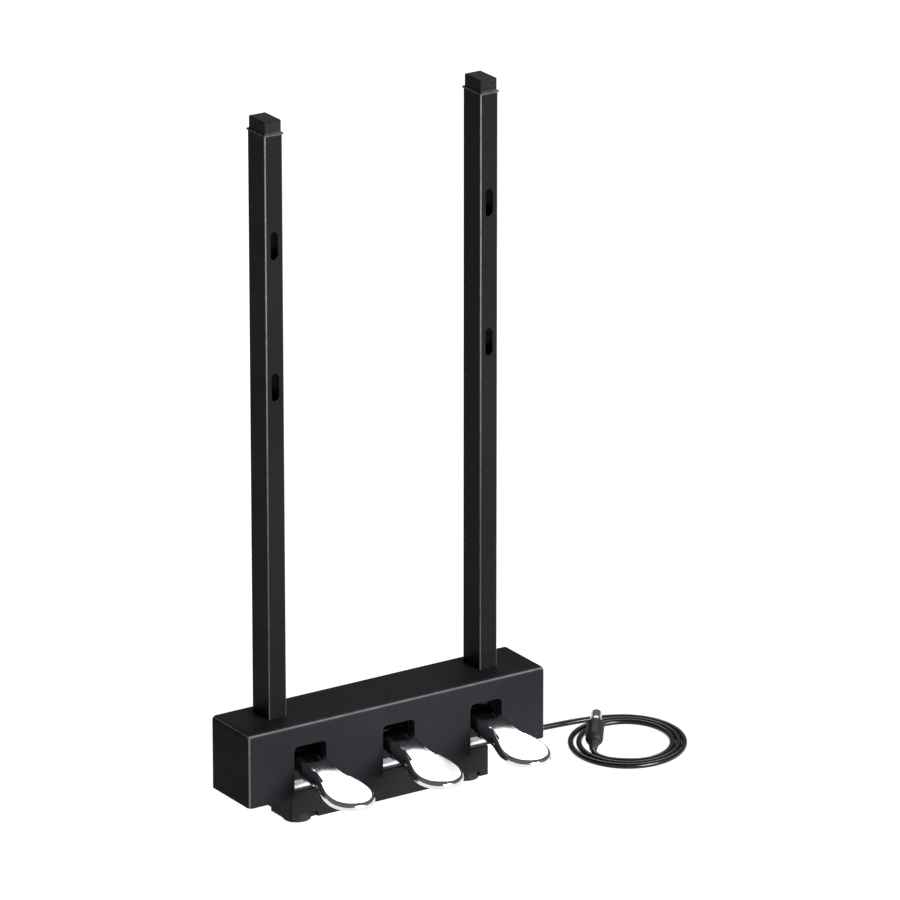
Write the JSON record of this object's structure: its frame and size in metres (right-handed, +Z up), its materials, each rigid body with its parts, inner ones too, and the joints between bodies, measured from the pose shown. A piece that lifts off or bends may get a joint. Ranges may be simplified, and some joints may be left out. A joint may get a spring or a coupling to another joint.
{
  "type": "piano pedal unit with uprights",
  "caption": "Low black box on rubber feet with chromed foot pedals, slotted steel uprights and a coiled lead with a round plug.",
  "frame": {"origin": "on the floor under the centre of the box that holds the unit without its free lead", "axes": "+X to the player's right, +Y away from the player, +Z up"},
  "size_m": [0.4363, 0.1965, 0.6052],
  "materials": {
    "cover_plastic": "fine textured black",
    "base_plastic": "fine textured black",
    "foot_rubber": "matte",
    "coated_steel": "black dip coat on sheet",
    "painted_steel": "satin black powder coat",
    "cap_plastic": "textured black",
    "pedal_chrome": "polished plating",
    "shaft_steel": "ground steel",
    "bush_nylon": "natural nylon",
    "spring_steel": "drawn wire",
    "felt": "pressed felt",
    "board_laminate": "dark coated laminate",
    "sensor_plastic": "moulded",
    "lead_pvc": "soft satin sheath",
    "screw_steel": "black zinc",
    "plug_plastic": "moulded",
    "plug_nickel": "nickel plated",
    "pin_gold": "plated pins"
  },
  "bodies": {
    "frame": {"top_cover": "cover_plastic", "bottom_base": "base_plastic", "foot_front_left": "foot_rubber", "foot_front_right": "foot_rubber", "foot_rear_left": "foot_rubber", "foot_rear_right": "foot_rubber", "cord_relief": "foot_rubber", "pedal_chassis": "coated_steel", "upright_bracket_left": "coated_steel", "upright_bracket_right": "coated_steel", "upright_left": "painted_steel", "upright_right": "painted_steel", "cap_left": "cap_plastic", "cap_right": "cap_plastic", "pivot_shaft_left": "shaft_steel", "pivot_shaft_middle": "shaft_steel", "pivot_shaft_right": "shaft_steel", "return_spring_left": "spring_steel", "return_spring_middle": "spring_steel", "return_spring_right": "spring_steel", "lower_stop_felt_left": "felt", "lower_stop_felt_middle": "felt", "lower_stop_felt_right": "felt", "rest_stop_felt_left": "felt", "rest_stop_felt_middle": "felt", "rest_stop_felt_right": "felt", "sensor_board": "board_laminate", "position_sensor_left": "sensor_plastic", "position_sensor_middle": "sensor_plastic", "position_sensor_right": "sensor_plastic", "board_connector": "sensor_plastic", "inner_lead": "lead_pvc", "cord_lead": "lead_pvc", "cord_coil": "lead_pvc", "cover_screws": "screw_steel", "base_screws": "screw_steel", "board_screws": "screw_steel", "upright_screws": "screw_steel", "plug_boot": "plug_plastic", "plug_body": "plug_plastic", "plug_insert": "plug_plastic", "plug_shell": "plug_nickel", "plug_pins": "pin_gold"},
    "pedal_left_body": {"pedal_left": "pedal_chrome", "pivot_bushes_left": "bush_nylon", "sensor_vane_left": "sensor_plastic"},
    "pedal_middle_body": {"pedal_middle": "pedal_chrome", "pivot_bushes_middle": "bush_nylon", "sensor_vane_middle": "sensor_plastic"},
    "pedal_right_body": {"pedal_right": "pedal_chrome", "pivot_bushes_right": "bush_nylon", "sensor_vane_right": "sensor_plastic"}
  },
  "joints": [
    {"name": "pedal_left_press", "type": "hinge", "parent": "frame", "child": "pedal_left_body", "pos_m": [-0.086, 0.05625, 0.058], "axis": [1, 0, 0], "range_deg": [0, 6], "stiffness_Nm_per_rad": 3, "springref_deg": -20.05, "deforming": ["return_spring_left"]},
    {"name": "pedal_middle_press", "type": "hinge", "parent": "frame", "child": "pedal_middle_body", "pos_m": [0, 0.05625, 0.058], "axis": [1, 0, 0], "range_deg": [0, 6], "stiffness_Nm_per_rad": 3, "springref_deg": -20.05, "deforming": ["return_spring_middle"]},
    {"name": "pedal_right_press", "type": "hinge", "parent": "frame", "child": "pedal_right_body", "pos_m": [0.086, 0.05625, 0.058], "axis": [1, 0, 0], "range_deg": [0, 6], "stiffness_Nm_per_rad": 3, "springref_deg": -20.05, "deforming": ["return_spring_right"]}
  ]
}
